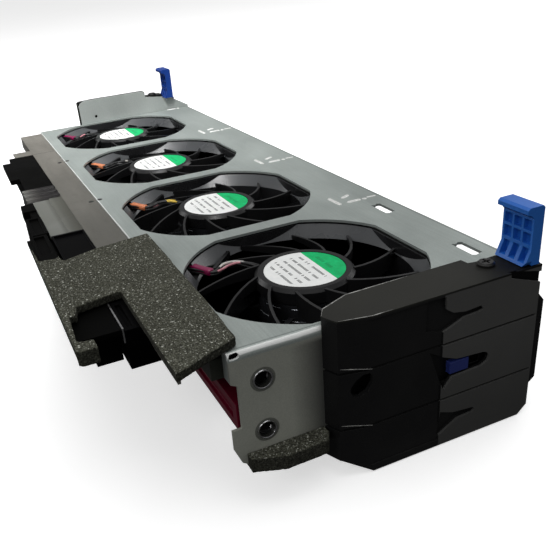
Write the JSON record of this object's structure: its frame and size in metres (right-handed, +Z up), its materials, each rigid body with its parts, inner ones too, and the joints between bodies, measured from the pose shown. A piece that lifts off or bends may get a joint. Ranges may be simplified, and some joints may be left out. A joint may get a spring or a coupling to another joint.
{
  "type": "server fan tray",
  "caption": "Long sheet-metal fan tray with round axial fans in a row, moulded end caps, fold-over release levers, a side cable duct and foam seals.",
  "frame": {"origin": "centre of the bounding box's underside, where the tray stands on its end caps and feet", "axes": "+X along the row of fans towards the near end cap, +Y towards the rear flange and the levers, +Z up on the air outlet side"},
  "size_m": [0.409, 0.172, 0.095],
  "materials": {
    "zinc_sheet": "zinc-plated sheet, satin",
    "ledge_sheet": "tan-grey satin",
    "bracket_sheet": "zinc-plated sheet, dull",
    "black_plastic": "matte black moulding",
    "black_gloss": "glossy black moulding",
    "grey_plastic": "grey moulding",
    "steel_shell": "bright steel",
    "wire_black": "wire insulation",
    "wire_mixed": "wire insulation, mixed colours",
    "cap_plastic": "black moulding, fine texture",
    "blue_plastic": "blue moulding",
    "black_screw": "black-oxide steel",
    "foam": "open-cell conductive foam",
    "fan_plastic": "black glass-filled plastic",
    "rotor_plastic": "black satin plastic",
    "magnet": "sintered ferrite",
    "stator": "enamelled copper on laminations",
    "label_film": "printed label",
    "burgundy_plastic": "burgundy translucent plastic",
    "white_plastic": "nylon plug housing",
    "rubber_black": "soft rubber"
  },
  "bodies": {
    "tray": {"fan_cage": "zinc_sheet", "bottom_tray": "zinc_sheet", "side_ledge": "ledge_sheet", "far_bracket": "bracket_sheet", "duct_base": "black_plastic", "duct_cover_far": "black_plastic", "duct_panel": "grey_plastic", "duct_cover_near": "black_gloss", "harness_strap": "grey_plastic", "side_connectors": "black_plastic", "bay_connector": "black_plastic", "bay_connector_shell": "steel_shell", "harness_wires": "wire_black", "near_cap": "cap_plastic", "far_cap": "cap_plastic", "lever_pins": "steel_shell", "cap_screws": "black_screw", "foam_top": "foam", "foam_bottom": "foam", "fan_1_frame": "fan_plastic", "fan_1_vanes": "fan_plastic", "fan_1_stator": "stator", "fan_1_grip": "burgundy_plastic", "fan_1_leads": "wire_mixed", "fan_2_frame": "fan_plastic", "fan_2_vanes": "fan_plastic", "fan_2_stator": "stator", "fan_2_grip": "burgundy_plastic", "fan_2_leads": "wire_mixed", "fan_3_frame": "fan_plastic", "fan_3_vanes": "fan_plastic", "fan_3_stator": "stator", "fan_3_grip": "burgundy_plastic", "fan_3_leads": "wire_mixed", "fan_4_frame": "fan_plastic", "fan_4_vanes": "fan_plastic", "fan_4_stator": "stator", "fan_4_grip": "burgundy_plastic", "fan_4_leads": "wire_mixed", "fan_bearings": "steel_shell", "fan_lead_guides": "burgundy_plastic", "fan_plugs": "white_plastic", "fan_isolators": "rubber_black", "fan_labels": "label_film"},
    "rotor_1": {"fan_1_rotor": "rotor_plastic", "fan_1_magnet": "magnet", "fan_1_shaft": "steel_shell"},
    "rotor_2": {"fan_2_rotor": "rotor_plastic", "fan_2_magnet": "magnet", "fan_2_shaft": "steel_shell"},
    "rotor_3": {"fan_3_rotor": "rotor_plastic", "fan_3_magnet": "magnet", "fan_3_shaft": "steel_shell"},
    "rotor_4": {"fan_4_rotor": "rotor_plastic", "fan_4_magnet": "magnet", "fan_4_shaft": "steel_shell"},
    "near_lever_arm": {"near_lever": "blue_plastic"},
    "far_lever_arm": {"far_lever": "blue_plastic"},
    "near_latch_slide": {"near_latch": "blue_plastic"},
    "far_latch_slide": {"far_latch": "blue_plastic"}
  },
  "joints": [
    {"name": "fan_1_spin", "type": "hinge", "parent": "tray", "child": "rotor_1", "pos_m": [-0.147, 0.012, 0.024], "axis": [0, 0, 1], "continuous": true},
    {"name": "fan_2_spin", "type": "hinge", "parent": "tray", "child": "rotor_2", "pos_m": [-0.049, 0.012, 0.024], "axis": [0, 0, 1], "continuous": true},
    {"name": "fan_3_spin", "type": "hinge", "parent": "tray", "child": "rotor_3", "pos_m": [0.049, 0.012, 0.024], "axis": [0, 0, 1], "continuous": true},
    {"name": "fan_4_spin", "type": "hinge", "parent": "tray", "child": "rotor_4", "pos_m": [0.147, 0.012, 0.024], "axis": [0, 0, 1], "continuous": true},
    {"name": "near_lever_hinge", "type": "hinge", "parent": "tray", "child": "near_lever_arm", "pos_m": [0.2, 0.0788, 0.064], "axis": [1, 0, 0], "range_deg": [-85, 0]},
    {"name": "far_lever_hinge", "type": "hinge", "parent": "tray", "child": "far_lever_arm", "pos_m": [-0.2, 0.0703, 0.07], "axis": [1, 0, 0], "range_deg": [-85, 0]},
    {"name": "near_latch_travel", "type": "slide", "parent": "tray", "child": "near_latch_slide", "axis": [0, 1, 0], "range_m": [-0.004, 0]},
    {"name": "far_latch_travel", "type": "slide", "parent": "tray", "child": "far_latch_slide", "axis": [0, 1, 0], "range_m": [-0.004, 0]}
  ],
  "couplings": [
    {"joint": "near_latch_travel", "follows": "near_lever_hinge", "m_per_rad": 0.00269},
    {"joint": "far_latch_travel", "follows": "far_lever_hinge", "m_per_rad": 0.00269}
  ]
}
